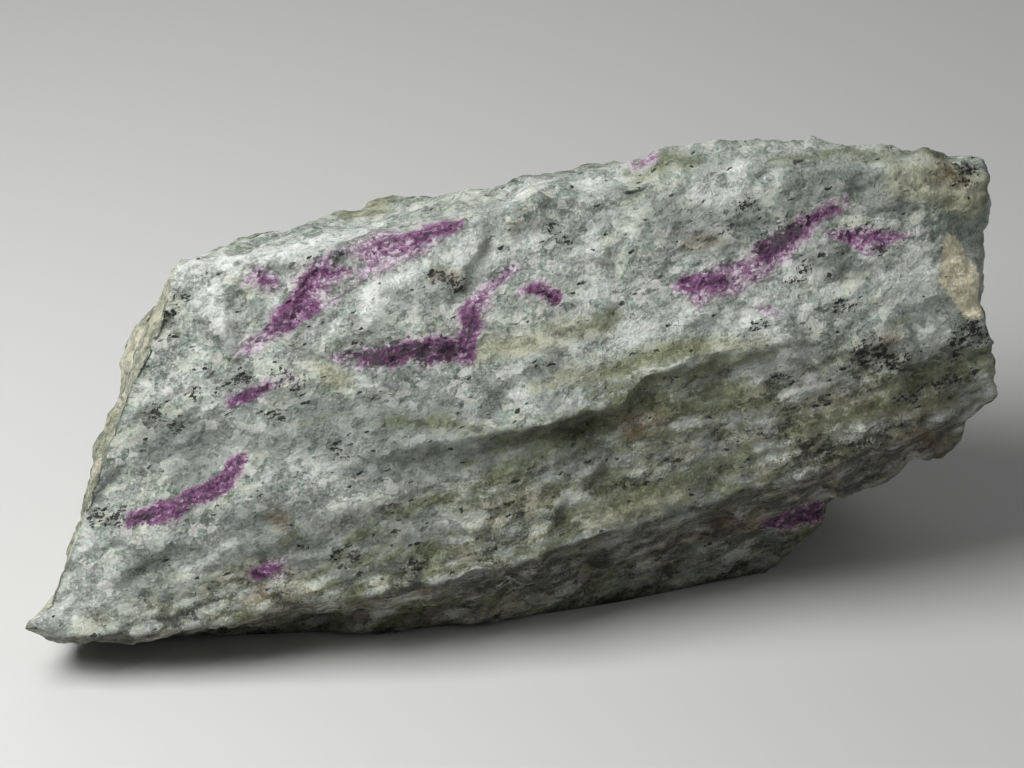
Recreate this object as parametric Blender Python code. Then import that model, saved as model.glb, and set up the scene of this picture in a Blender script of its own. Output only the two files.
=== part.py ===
"""Ruby specimen: a hand-sized block of pale foliated gneiss with bands and beads of ruby.

The block is broken all round. Its length runs along +X, its broad fracture face looks towards
-Y and upwards, and +Z is up. The origin is at the middle of the footprint, on the flat facet
that the block rests on. Lists of places are in millimetres and the meshes are in metres.
"""

import itertools
import math

import bmesh
import bpy
import numpy as np
from mathutils import Vector
from mathutils.bvhtree import BVHTree

MM = 0.001
GAP = 0.35                  # room left round each ruby in its pocket, mm

# How far the net below is moved so that the origin is under the middle of the block, mm.
CENTRING = (-0.6, -2.2, 0.0)

# Long edges of the block from left to right, nine stations (x, y, z) on each, mm. They follow
# each other round the block: over the top, down the broad face, under the base, up the back.
CREST_BACK = (
    (-31, 7, 29.5), (-25.5, 11, 30), (-20.5, 13.5, 30), (-11, 16, 32), (1, 17, 32),
    (12.5, 18.5, 33.5), (23.5, 19, 35), (35, 17, 35), (44, 14.5, 35))
CREST_FRONT = (
    (-31, 0.5, 34.5), (-25.5, 2, 34.5), (-20, 3.5, 35), (-9.5, 5.5, 36.5), (1.5, 6.5, 39.5),
    (12.5, 6.5, 42), (23, 7.5, 44), (35, 7, 42.8), (45, 8.5, 40.5))
FACE_TOP = (
    (-31.5, -2, 35), (-25.5, -2, 36), (-18.5, -1.5, 36.5), (-8, -0.5, 38), (3, 1.5, 40),
    (14, 3, 41.5), (24.5, 3.5, 43), (35.5, 3.5, 42), (44.5, 5.5, 40))
UPPER_LIP = (
    (-41, -15.5, 14), (-34, -14.5, 16.5), (-24.5, -13.5, 18.5), (-13, -12, 21), (-1, -11.5, 22.5),
    (8, -10.5, 24.5), (17.5, -7.5, 28.5), (32.5, -5.5, 29.5), (44.5, -2, 28))
HOLLOW = (
    (-42, -16.5, 12), (-35, -16, 14.5), (-25, -14.5, 17), (-12.5, -12.4, 19.6), (0, -10.7, 20.4),
    (10, -9, 21.7), (19, -7, 26), (33.5, -5.9, 27.8), (45, -2, 26.8))
LOWER_LIP = (
    (-45, -20, 5), (-30.5, -19.3, 5.7), (-20, -18, 7.5), (-9.5, -17.7, 8.9), (-1, -16.3, 10.2),
    (8.5, -13.9, 12), (21, -10.4, 14.4), (32, -8.8, 17.5), (45.5, -3, 21))
UNDERSIDE = (
    (-44, -17.5, 3), (-29.5, -15.8, 3.3), (-20, -13.6, 2.8), (-9.5, -13, 3), (0, -10.8, 3.5),
    (9.5, -8, 4.5), (22.5, -4.5, 6.5), (32.5, -4, 11.5), (43.5, -0.5, 16))
BASE_FRONT = (
    (-42, -13.5, 1), (-28.5, -13, 0), (-20.5, -12.5, 0), (-10, -12, 0), (0, -10.2, 0),
    (10.5, -7.5, 0), (25, -2.5, 0), (31.5, -3, 8.5), (41.5, 0.5, 12))
BASE_BACK = (
    (-36, 7.5, 1), (-28, 13.5, 0), (-19, 16.5, 0), (-9, 19.5, 0), (1, 21.5, 0),
    (11, 22.5, 0), (21, 20.5, 0), (30, 17.5, 6), (39, 13.5, 11.5))
BACK_LOW = (
    (-38, 4.5, 17), (-29, 14.5, 12.5), (-20, 18.5, 12.5), (-10, 21.5, 13.5), (1, 23.5, 13.5),
    (12, 24.5, 14.5), (22, 23.5, 14.5), (32, 20.5, 16.5), (41, 15.5, 20.5))
BACK_HIGH = (
    (-36, 5.5, 23.5), (-27.5, 13.5, 22), (-20, 17.5, 22), (-10.5, 20.5, 23), (1, 22, 24),
    (12.5, 22.5, 25), (23, 22.5, 25), (34, 20, 26), (43, 16, 27.5))

# Quads from one long edge to the next, and along the length.
TOP_STEPS = (9,)
FRONT_STEPS = (2, 11, 2, 6, 3, 2)
BASE_STEPS = (9,)
BACK_STEPS = (9, 8, 9)
LENGTH_STEPS = 40
END_BULGE = (0.2, 0.8)      # how far the middles of the left and right ends stand out, mm

# Relief of the broken surface: (size of a feature, height, seed), mm.
LUMPS = ((13.0, 0.5, 11), (5.5, 0.22, 12))
FLAKE_SIZE = 6.5            # pieces of the surface that broke along one plane
FLAKE_TILT = 0.13
FLAKE_SEED = 21
FLAKE_BLEND = 14.0          # how narrow the blend from one flake to the next is
FOLIATION = (-0.34, 0.51, 0.79)     # direction square to the layers of the rock
LEDGE_SPACING = 5.0
LEDGE_HEIGHT = 0.4
LEDGE_MEAN = 0.3            # share of that height that the surface lies at on the whole
LEDGE_FALL = 4.0            # how many times steeper each ledge falls than it rises
LEDGE_WANDER = 0.35         # how far the layers bend, in spacings
LEDGE_WANDER_SIZE = 14.0
LEDGE_WANDER_SEED = 31
LEDGE_FADE_SIZE = 11.0      # size of the places where the ledges fade out
LEDGE_FADE_SEED = 32
LOWEST_RELIEF = 0.15        # how near the table the relief may come beside the flat facet
ON_BASE = 1e-6

# Places knocked in or standing proud: (middle, radius, push as x, y, z), mm.
KNOCKS = (
    ((45.8, 1.5, 36.5), 4.5, (-1.6, 0.3, 0.0)),     # notch high on the right end
    ((45.5, 5.0, 41.0), 2.6, (0.7, 0.0, 0.5)),      # horn above the notch
    ((46.0, -3.5, 21.5), 3.0, (0.8, 0.0, 0.0)),     # nose at the right end of the lower lip
    ((-44.5, -19.5, 5.0), 3.0, (-0.5, 0.0, 0.9)),   # knob over the left toe
    ((-40.5, -16.5, 11.5), 3.2, (0.9, 0.3, 0.0)),   # bite above the left toe
    ((-37.0, 3.5, 21.0), 4.0, (-0.9, 0.0, 0.6)),    # knob on the left of the rear
    ((8.5, -10.0, 22.0), 5.0, (0.0, 0.9, -0.4)),    # deep part of the hollow under the lobe
    ((13.5, -8.8, 26.0), 3.6, (0.0, 1.1, -0.2)),    # corner of the hollow on the lobe's right
    ((23.5, -6.5, 8.5), 4.5, (0.0, 0.6, 0.3)),      # cove under the right half
    ((-14.0, 22.0, 18.0), 6.0, (0.0, -1.2, 0.0)),   # spall on the left of the back
    ((17.0, 24.5, 20.0), 7.0, (0.0, -1.5, 0.0)),    # spall on the right of the back
    ((-4.0, 13.5, 34.5), 5.0, (0.0, 0.0, -0.8)),    # dip behind the crest
)

FACE_LEAN = math.radians(33.0)      # how far the broad face's front view looks down
FACE_CENTRE = (0.0, -8.3, 26.0)

# Views that the rubies are laid out in: (middle, right, up, outwards).
FACE_VIEW = (
    FACE_CENTRE, (1, 0, 0),
    (0, math.sin(FACE_LEAN), math.cos(FACE_LEAN)), (0, -math.cos(FACE_LEAN), math.sin(FACE_LEAN)))
BACK_VIEW = ((0, 0, 0), (-1, 0, 0), (0, 0, 1), (0, 1, 0))
LEFT_VIEW = ((0, 0, 0), (0, -1, 0), (0, 0, 1), (-1, 0, 0))

# Rubies: the view each is laid out in, and its middle line there (right, up, half width), mm.
RUBIES = {
    "ruby_long_band": (FACE_VIEW, (
        (-25.5, 3.0, 0.6), (-22.9, 4.7, 0.8), (-20.8, 6.8, 1.3), (-18.9, 8.8, 2.2),
        (-15.7, 10.9, 2.0), (-11.9, 12.6, 1.6), (-8.2, 13.7, 1.2), (-4.9, 14.9, 0.4))),
    "ruby_round_eye": (FACE_VIEW, ((-24.6, 9.9, 0.7), (-23.7, 9.9, 1.0), (-22.9, 9.6, 0.7))),
    "ruby_hook": (FACE_VIEW, (
        (-16.6, 2.5, 0.5), (-13.8, 2.9, 0.8), (-10.5, 3.0, 1.0), (-7.5, 3.2, 1.0),
        (-5.1, 3.3, 1.2), (-4.1, 4.9, 1.2), (-3.9, 6.9, 1.2), (-2.2, 8.9, 0.8),
        (0.4, 11.0, 0.4))),
    "ruby_grey_eye": (FACE_VIEW, ((0.9, 8.8, 0.6), (2.6, 8.7, 0.9), (4.1, 8.2, 0.8))),
    "ruby_short_streak": (FACE_VIEW, (
        (-26.1, -1.7, 0.5), (-24.6, -0.8, 0.7), (-22.9, -0.2, 0.6), (-20.8, 0.4, 0.3))),
    "ruby_low_band": (FACE_VIEW, (
        (-36.0, -12.8, 0.4), (-33.9, -12.4, 0.8), (-31.6, -11.6, 0.8), (-29.2, -10.6, 0.8),
        (-27.6, -9.5, 0.8), (-26.4, -8.1, 0.8), (-25.5, -7.0, 0.6))),
    "ruby_low_bead": (FACE_VIEW, ((-24.6, -18.0, 0.5), (-23.2, -17.5, 0.8), (-21.8, -17.2, 0.5))),
    "ruby_right_band": (FACE_VIEW, (
        (15.8, 9.1, 0.7), (17.6, 9.0, 1.5), (20.4, 9.8, 1.7), (23.2, 11.2, 1.5),
        (25.6, 12.8, 1.3), (27.0, 14.2, 1.0), (28.9, 15.8, 0.8), (31.5, 17.2, 0.5))),
    "ruby_right_lens": (FACE_VIEW, (
        (29.5, 14.1, 0.3), (31.2, 13.9, 0.8), (33.4, 13.6, 1.4), (35.4, 13.7, 0.9),
        (37.2, 13.8, 0.3))),
    "ruby_right_bead": (FACE_VIEW, ((23.2, 7.0, 0.4), (24.1, 6.7, 0.5), (25.0, 6.3, 0.4))),
    "ruby_crest_chip": (FACE_VIEW, ((11.6, 20.8, 0.4), (12.4, 21.0, 0.5), (13.2, 21.2, 0.4))),
    "ruby_under_lens": (FACE_VIEW, (
        (24.2, -13.6, 0.3), (26.4, -13.1, 0.6), (28.3, -12.7, 0.6), (29.7, -12.1, 0.4))),
    "ruby_rear_tip": (LEFT_VIEW, ((-4.2, 19.4, 0.5), (-2.8, 18.4, 1.1), (-1.2, 17.4, 0.6))),
    "ruby_back_band": (BACK_VIEW, (
        (-21.0, 21.5, 0.4), (-17.5, 19.8, 1.0), (-14.0, 18.0, 1.5), (-10.0, 16.6, 1.4),
        (-6.0, 15.2, 0.9), (-2.5, 13.4, 0.4))),
    "ruby_back_lens": (BACK_VIEW, (
        (9.5, 23.0, 0.4), (12.0, 21.6, 0.9), (14.6, 20.4, 1.0), (17.4, 18.8, 0.4))),
}

# Section of a ruby across its middle line: share of the half width, height over the surface
# in mm, and which way that height moves where the section grows into a pocket's.
RUBY_SECTION = (
    (1.0, 2.2, 1), (1.0, -0.8, 0), (0.55, -2.4, -1),
    (-0.55, -2.4, -1), (-1.0, -0.8, 0), (-1.0, 2.2, 1))
SIGHT_START = 80.0          # how far outside a view's middle its lines of sight start, mm

STONE_COLOUR = (0.30, 0.34, 0.29, 1.0)
STONE_ROUGHNESS = 0.75
RUBY_COLOUR = (0.19, 0.055, 0.16, 1.0)
RUBY_ROUGHNESS = 0.45


def clear_scene():
    """Remove whatever objects the file opened with."""
    for thing in list(bpy.data.objects):
        bpy.data.objects.remove(thing, do_unlink=True)


def material(name, colour, roughness):
    """A Principled material of one colour."""
    finish = bpy.data.materials.new(name)
    finish.use_nodes = True
    shader = finish.node_tree.nodes["Principled BSDF"]
    shader.inputs["Base Color"].default_value = colour
    shader.inputs["Roughness"].default_value = roughness
    shader.inputs["Metallic"].default_value = 0.0
    return finish


def hashed(cells, seed):
    """A fixed number from 0 to 1 for each whole-number cell (n, 3)."""
    mixed = cells[:, 0] * 73856093 ^ cells[:, 1] * 19349663 ^ cells[:, 2] * 83492791
    mixed = (mixed ^ seed * 7919) & 0xFFFFFFFF
    mixed = (mixed ^ mixed >> 15) * 739202357 & 0xFFFFFFFF
    mixed = (mixed ^ mixed >> 13) * 1274126177 & 0xFFFFFFFF
    return (mixed ^ mixed >> 16 & 0xFFFF) / 0xFFFFFFFF


def smooth_noise(points, seed):
    """Value noise from -1 to 1: lattice numbers blended with eased weights."""
    cell = np.floor(points).astype(np.int64)
    part = points - cell
    ease = part ** 3 * (part * (part * 6 - 15) + 10)
    total = np.zeros(len(points))
    for corner in itertools.product((0, 1), repeat=3):
        share = np.prod(np.where(corner, ease, 1 - ease), axis=1)
        total += share * (2 * hashed(cell + corner, seed) - 1)
    return total


def flakes(points, seed):
    """Height of tilted flat flakes: the planes of the nearest flakes, blended near borders."""
    cell = np.floor(points).astype(np.int64)
    shares = np.zeros(len(points))
    height = np.zeros(len(points))
    for step in itertools.product((-1, 0, 1), repeat=3):
        around = cell + step
        middle = around + np.stack([hashed(around, seed + k) for k in range(3)], axis=1)
        tilt = 2 * np.stack([hashed(around, seed + 3 + k) for k in range(3)], axis=1) - 1
        away = points - middle
        share = np.exp(-FLAKE_BLEND * np.sum(away ** 2, axis=1))
        shares += share
        height += share * np.sum(away * tilt, axis=1)
    return height / shares


def ledges(points):
    """Steps along the layers of the rock, 0 to 1: a slow rise and a sharp fall on each."""
    wander = LEDGE_WANDER * smooth_noise(points / LEDGE_WANDER_SIZE, LEDGE_WANDER_SEED)
    layer = points @ np.array(FOLIATION) / LEDGE_SPACING + wander
    rise = layer - np.floor(layer)
    strength = 0.5 + 0.5 * smooth_noise(points / LEDGE_FADE_SIZE, LEDGE_FADE_SEED)
    return strength * np.minimum(rise, LEDGE_FALL * (1 - rise))


def relief(points):
    """How far the broken surface stands off the smooth block at each point, mm."""
    height = LEDGE_HEIGHT * (ledges(points) - LEDGE_MEAN)
    height += FLAKE_SIZE * FLAKE_TILT * flakes(points / FLAKE_SIZE, FLAKE_SEED)
    for size, tall, seed in LUMPS:
        height += tall * smooth_noise(points / size, seed)
    return height


def knocks(points):
    """How far the knocks move each point, mm: a smooth bump or dent round each middle."""
    moved = np.zeros_like(points)
    for middle, radius, push in KNOCKS:
        near = np.linalg.norm(points - np.array(middle), axis=1) / radius
        moved += np.array(push) * ((1 - np.minimum(near, 1) ** 2) ** 2)[:, None]
    return moved


def curve_through(stations, steps):
    """Points on a smooth (Catmull-Rom) curve through the stations, both ends included."""
    known = np.array(stations, float)
    known = np.vstack([2 * known[0] - known[1], known, 2 * known[-1] - known[-2]])
    place = np.linspace(0, len(stations) - 1, steps + 1)
    first = np.minimum(place.astype(int), len(stations) - 2)
    t = (place - first)[:, None]
    a, b, c, d = (known[first + k] for k in range(4))
    return 0.5 * (2 * b + (c - a) * t + (2 * a - 5 * b + 4 * c - d) * t ** 2
                  + (3 * b - a - 3 * c + d) * t ** 3)


def chain(edges, counts):
    """Columns of points from the first edge up to, not including, the last: (row, column, 3)."""
    curves = [curve_through(edge, LENGTH_STEPS) for edge in edges]
    columns = []
    for start, end, count in zip(curves, curves[1:], counts):
        columns += [start + (end - start) * k / count for k in range(count)]
    return np.stack(columns, axis=1)


def end_patch(ring, bulge):
    """Inside points of a Coons patch across one end ring, pushed out by bulge along X."""
    down = sum(FRONT_STEPS)
    across = sum(TOP_STEPS)
    closed = np.vstack([ring, ring[:1]])
    top = closed[:across + 1][::-1]
    front = closed[across:across + down + 1]
    base = closed[across + down:2 * across + down + 1]
    back = closed[2 * across + down:][::-1]
    u = np.linspace(0, 1, down + 1)[:, None, None]
    v = np.linspace(0, 1, across + 1)[None, :, None]
    patch = (1 - v) * front[:, None] + v * back[:, None] + (1 - u) * top[None] + u * base[None]
    patch -= (1 - u) * (1 - v) * top[0] + (1 - u) * v * top[-1]
    patch -= u * (1 - v) * base[0] + u * v * base[-1]
    patch[..., 0] += bulge * (np.sin(math.pi * u) * np.sin(math.pi * v))[..., 0]
    return patch[1:-1, 1:-1]


def ring_index(row, column, per_ring):
    """Number of a point of the rings."""
    return row * per_ring + column % per_ring


def end_faces(row, first_inside, per_ring):
    """Quads of an end: its inside points tied to the ring of that row."""
    down = sum(FRONT_STEPS)
    across = sum(TOP_STEPS)

    def number(i, j):
        if j == 0:
            return ring_index(row, across + i, per_ring)
        if j == across:
            return ring_index(row, -i, per_ring)
        if i == 0:
            return ring_index(row, across - j, per_ring)
        if i == down:
            return ring_index(row, across + down + j, per_ring)
        return first_inside + (i - 1) * (across - 1) + j - 1

    return [(number(i, j), number(i + 1, j), number(i + 1, j + 1), number(i, j + 1))
            for i in range(down) for j in range(across)]


def block_points():
    """Points and quads of the smooth block, before its relief, mm."""
    rings = np.concatenate([
        chain((CREST_BACK, CREST_FRONT), TOP_STEPS),
        chain((CREST_FRONT, FACE_TOP, UPPER_LIP, HOLLOW, LOWER_LIP, UNDERSIDE, BASE_FRONT),
              FRONT_STEPS),
        chain((BASE_FRONT, BASE_BACK), BASE_STEPS),
        chain((BASE_BACK, BACK_LOW, BACK_HIGH, CREST_BACK), BACK_STEPS)], axis=1)
    per_ring = rings.shape[1]
    left = end_patch(rings[0], -END_BULGE[0]).reshape(-1, 3)
    right = end_patch(rings[-1], END_BULGE[1]).reshape(-1, 3)
    points = np.vstack([rings.reshape(-1, 3), left, right])
    points[:, 2] = np.maximum(points[:, 2], 0.0)
    quads = [
        (ring_index(row, column, per_ring), ring_index(row + 1, column, per_ring),
         ring_index(row + 1, column + 1, per_ring), ring_index(row, column + 1, per_ring))
        for row in range(LENGTH_STEPS) for column in range(per_ring)]
    inside = (LENGTH_STEPS + 1) * per_ring
    quads += end_faces(0, inside, per_ring)
    quads += end_faces(LENGTH_STEPS, inside + len(left), per_ring)
    return points, quads


def faces_on_base(shape):
    """Faces of the block that lie in the plane it rests on."""
    return [face for face in shape.faces
            if all(corner.co.z < ON_BASE for corner in face.verts)]


def stone_shape():
    """The whole block as a bmesh in mm, with its relief and its flat base."""
    points, quads = block_points()
    shape = bmesh.new()
    corners = [shape.verts.new(point) for point in points]
    for quad in quads:
        shape.faces.new([corners[k] for k in quad])
    bmesh.ops.recalc_face_normals(shape, faces=shape.faces)
    shape.normal_update()
    normals = np.array([corner.normal[:] for corner in corners])
    on_base = points[:, 2] < ON_BASE
    height = np.where(on_base, 0.0, relief(points))
    moved = points + normals * height[:, None] + knocks(points) * ~on_base[:, None]
    moved[:, 2] = np.where(on_base, 0.0, np.maximum(moved[:, 2], LOWEST_RELIEF))
    for corner, place in zip(corners, moved):
        corner.co = Vector(place)
    base = set(faces_on_base(shape))
    bmesh.ops.triangulate(shape, faces=[face for face in shape.faces if face not in base])
    bmesh.ops.dissolve_faces(shape, faces=faces_on_base(shape), use_verts=True)
    return shape


def scaled(places):
    """Millimetres in the net's frame to metres in the part's frame."""
    return (np.asarray(places, float) + CENTRING) * MM


def add_object(name, mesh, finish=None, helper=False):
    """Put a mesh into the scene; a helper is only cut with and isn't part of the specimen."""
    thing = bpy.data.objects.new(name, mesh)
    bpy.context.scene.collection.objects.link(thing)
    if finish is not None:
        mesh.materials.append(finish)
    if helper:
        thing.hide_render = True
        thing.display_type = "WIRE"
    return thing


def stone_mesh(name, shape):
    """The block's bmesh as a mesh in metres."""
    mesh = bpy.data.meshes.new(name)
    shape.to_mesh(mesh)
    places = np.empty(len(mesh.vertices) * 3)
    mesh.vertices.foreach_get("co", places)
    mesh.vertices.foreach_set("co", scaled(places.reshape(-1, 3)).ravel())
    return mesh


def ruby_rings(surface, view, line, grow):
    """Section points along a ruby's middle line, laid on the block's surface: (n, 6, 3) mm."""
    middle, right, up, out = (np.array(part, float) for part in view)
    flat = np.array([spot[:2] for spot in line])
    half_widths = np.array([spot[2] for spot in line])
    along = np.gradient(flat, axis=0)
    along /= np.linalg.norm(along, axis=1)[:, None]
    flat[0] -= along[0] * grow
    flat[-1] += along[-1] * grow
    rings = []
    for (u, v), (du, dv), half in zip(flat, along, half_widths):
        start = middle + right * u + up * v + out * SIGHT_START
        place = np.array(surface.ray_cast(Vector(start), Vector(-out))[0])
        across = right * -dv + up * du
        ring = []
        for share, height, way in RUBY_SECTION:
            side = share * half + math.copysign(grow, share)
            ring.append(place + across * side + out * (height + way * grow))
        rings.append(ring)
    return np.array(rings)


def ruby_mesh(name, surface, view, line, grow=0.0):
    """Closed six-sided lens along a middle line, flat at both ends."""
    rings = ruby_rings(surface, view, line, grow)
    shape = bmesh.new()
    loops = [[shape.verts.new(place) for place in scaled(ring)] for ring in rings]
    for one, other in zip(loops, loops[1:]):
        for k in range(len(one)):
            after = (k + 1) % len(one)
            shape.faces.new((one[k], one[after], other[after], other[k]))
    shape.faces.new(loops[0])
    shape.faces.new(loops[-1])
    bmesh.ops.triangulate(shape, faces=shape.faces)
    bmesh.ops.recalc_face_normals(shape, faces=shape.faces)
    mesh = bpy.data.meshes.new(name)
    shape.to_mesh(mesh)
    shape.free()
    return mesh


def cut(thing, other, operation):
    """Add an exact Boolean with another object."""
    step = thing.modifiers.new(other.name, "BOOLEAN")
    step.operation = operation
    step.solver = "EXACT"
    step.object = other


def build():
    """The matrix with a pocket for each ruby, and the rubies flush with its surface."""
    clear_scene()
    stone_finish = material("gneiss", STONE_COLOUR, STONE_ROUGHNESS)
    ruby_finish = material("ruby", RUBY_COLOUR, RUBY_ROUGHNESS)
    shape = stone_shape()
    surface = BVHTree.FromBMesh(shape)
    matrix = add_object("matrix", stone_mesh("matrix", shape), stone_finish)
    whole = add_object("whole_block", stone_mesh("whole_block", shape), helper=True)
    shape.free()
    for name, (view, line) in RUBIES.items():
        ruby = add_object(name, ruby_mesh(name, surface, view, line), ruby_finish)
        cut(ruby, whole, "INTERSECT")
        pocket = add_object(
            "pocket_of_" + name, ruby_mesh("pocket", surface, view, line, GAP), helper=True)
        cut(matrix, pocket, "DIFFERENCE")


build()
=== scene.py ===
"""Ruby specimen: a broken block of pale foliated gneiss with bands and beads of ruby.

The block's smooth form is a net of eleven long edges. Its broken surface is worked out on a
fine grid from that form and a relief of layers, flakes and grains. Each ruby is a closed shell
that follows the same surface, flush with the rock. The net is in millimetres, in a frame of its
own, and strokes on it are in tenths of one. The meshes are in metres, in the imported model's frame.
"""

import logging
import math
from dataclasses import dataclass, field
from enum import Enum
from itertools import product

import bpy
import numpy as np
import numpy.typing as npt
from mathutils import Vector
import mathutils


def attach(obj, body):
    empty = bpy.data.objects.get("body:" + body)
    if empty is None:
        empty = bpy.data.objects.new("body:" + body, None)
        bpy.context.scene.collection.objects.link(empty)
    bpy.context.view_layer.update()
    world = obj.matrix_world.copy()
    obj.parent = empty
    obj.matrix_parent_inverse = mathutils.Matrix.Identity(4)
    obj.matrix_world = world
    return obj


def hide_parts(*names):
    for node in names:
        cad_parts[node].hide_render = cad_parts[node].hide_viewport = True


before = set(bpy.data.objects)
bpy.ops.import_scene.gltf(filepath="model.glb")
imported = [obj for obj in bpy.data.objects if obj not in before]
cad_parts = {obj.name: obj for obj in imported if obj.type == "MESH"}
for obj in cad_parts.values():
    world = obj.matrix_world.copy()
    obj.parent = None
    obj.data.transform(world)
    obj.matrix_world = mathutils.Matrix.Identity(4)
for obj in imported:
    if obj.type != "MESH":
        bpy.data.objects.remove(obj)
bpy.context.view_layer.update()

Array = npt.NDArray[np.float64]
Numbers = npt.NDArray[np.int64]
Spot = tuple[float, float, float]
Pair = tuple[float, float]
Line = tuple[Spot, ...]
Row = tuple[float, ...]
Round = tuple[float, float, int]
Look = tuple[int, int, int]

LOG = logging.getLogger("ruby_specimen")

MM = 0.001
CENTRING = (-0.6, -2.2, 0.0)        # from the net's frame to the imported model's, mm
FOLIATION = (-0.34, 0.51, 0.79)     # direction square to the layers of the rock
FACE_LEAN = math.radians(33.0)      # how far the view square to the broad face looks down
FACE_CENTRE = (0.0, -8.3, 26.0)     # middle of the broad face, mm
FLAT = 1e-6                         # what is lower than this belongs to the flat base, mm
OUTSIDE = -3.0                      # depth inside a stroke that stands for far outside it, mm
CELL_PRIMES = (73856093, 19349663, 83492791)
SEED_PRIME = 7919
STIRS = ((15, 739202357), (13, 1274126177))     # shift and factor of each round of mixing
FULL = 0xFFFFFFFF

# Long edges in order round the block, nine stations on each from left to right, mm.
EDGES: dict[str, Line] = {
    "crest, back": (
        (-31, 7, 29.5), (-25.5, 11, 30), (-20.5, 13.5, 30), (-11, 16, 32), (1, 17, 32),
        (12.5, 18.5, 33.5), (23.5, 19, 35), (35, 17, 35), (44, 14.5, 35)),
    "crest, front": (
        (-31, 0.5, 34.5), (-25.5, 2, 34.5), (-20, 3.5, 35), (-9.5, 5.5, 36.5), (1.5, 6.5, 39.5),
        (12.5, 6.5, 42), (23, 7.5, 44), (35, 7, 42.8), (45, 8.5, 40.5)),
    "top of the face": (
        (-31.5, -2, 35), (-25.5, -2, 36), (-18.5, -1.5, 36.5), (-8, -0.5, 38), (3, 1.5, 40),
        (14, 3, 41.5), (24.5, 3.5, 43), (35.5, 3.5, 42), (44.5, 5.5, 40)),
    "upper lip": (
        (-41, -15.5, 14), (-34, -14.5, 16.5), (-24.5, -13.5, 18.5), (-13, -12, 21),
        (-1, -11.5, 22.5), (8, -10.5, 24.5), (17.5, -7.5, 28.5), (32.5, -5.5, 29.5), (44.5, -2, 28)),
    "hollow": (
        (-42, -16.5, 12), (-35, -16, 14.5), (-25, -14.5, 17), (-12.5, -12.4, 19.6), (0, -10.7, 20.4),
        (10, -9, 21.7), (19, -7, 26), (33.5, -5.9, 27.8), (45, -2, 26.8)),
    "lower lip": (
        (-45, -20, 5), (-30.5, -19.3, 5.7), (-20, -18, 7.5), (-9.5, -17.7, 8.9), (-1, -16.3, 10.2),
        (8.5, -13.9, 12), (21, -10.4, 14.4), (32, -8.8, 17.5), (45.5, -3, 21)),
    "underside": (
        (-44, -17.5, 3), (-29.5, -15.8, 3.3), (-20, -13.6, 2.8), (-9.5, -13, 3), (0, -10.8, 3.5),
        (9.5, -8, 4.5), (22.5, -4.5, 6.5), (32.5, -4, 11.5), (43.5, -0.5, 16)),
    "base, front": (
        (-42, -13.5, 1), (-28.5, -13, 0), (-20.5, -12.5, 0), (-10, -12, 0), (0, -10.2, 0),
        (10.5, -7.5, 0), (25, -2.5, 0), (31.5, -3, 8.5), (41.5, 0.5, 12)),
    "base, back": (
        (-36, 7.5, 1), (-28, 13.5, 0), (-19, 16.5, 0), (-9, 19.5, 0), (1, 21.5, 0),
        (11, 22.5, 0), (21, 20.5, 0), (30, 17.5, 6), (39, 13.5, 11.5)),
    "back, low": (
        (-38, 4.5, 17), (-29, 14.5, 12.5), (-20, 18.5, 12.5), (-10, 21.5, 13.5), (1, 23.5, 13.5),
        (12, 24.5, 14.5), (22, 23.5, 14.5), (32, 20.5, 16.5), (41, 15.5, 20.5)),
    "back, high": (
        (-36, 5.5, 23.5), (-27.5, 13.5, 22), (-20, 17.5, 22), (-10.5, 20.5, 23), (1, 22, 24),
        (12.5, 22.5, 25), (23, 22.5, 25), (34, 20, 26), (43, 16, 27.5))}

# Directions of the layers, one row each: two in the layers, and the one square to them.
SQUARE = np.array(FOLIATION) / np.linalg.norm(FOLIATION)
ALONG = np.cross((0, 1, 0), SQUARE) / np.linalg.norm(np.cross((0, 1, 0), SQUARE))
LAYERS = np.stack([ALONG, np.cross(SQUARE, ALONG), SQUARE])

# Where the rock splits into thin layers: under a border on the broad face, and on the back, mm.
BORDER_SLOPE = 0.42
BORDER_SHIFT = -5.8
BORDER_TOP = 2.6
BORDER_FADE = (-2.0, 2.5)
BACK_FADE = (8.0, 16.0)
BACK_SHARE = 0.6


# --- noise


def hashed(cells: Numbers, seed: int) -> Array:
    """A fixed number for each whole-number cell: its coordinates mixed by primes and shifts.

    Args:
        cells: Cell numbers, (n, 3).
        seed: Family of numbers to take.

    Returns:
        Numbers from 0 to 1.
    """
    x, y, z = (cells[:, axis] * prime for axis, prime in enumerate(CELL_PRIMES))
    mixed = (x ^ y ^ z ^ seed * SEED_PRIME) & FULL
    for shift, factor in STIRS:
        mixed = (mixed ^ mixed >> shift) * factor & FULL
    return (mixed ^ mixed >> 16 & 0xFFFF) / FULL


def smooth_noise(points: Array, seed: int) -> Array:
    """Value noise: the eight corner numbers of a point's cell, blended with eased weights.

    Args:
        points: Places in units of one feature.
        seed: Family of numbers to take.

    Returns:
        Heights from -1 to 1.
    """
    cell = np.floor(points).astype(np.int64)
    part = points - cell
    ease = part ** 3 * (part * (part * 6 - 15) + 10)
    total = np.zeros(len(points))
    for corner in product((0, 1), repeat=3):
        share = np.prod(np.where(corner, ease, 1 - ease), axis=1)
        total += share * (2 * hashed(cell + corner, seed) - 1)
    return total


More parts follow.
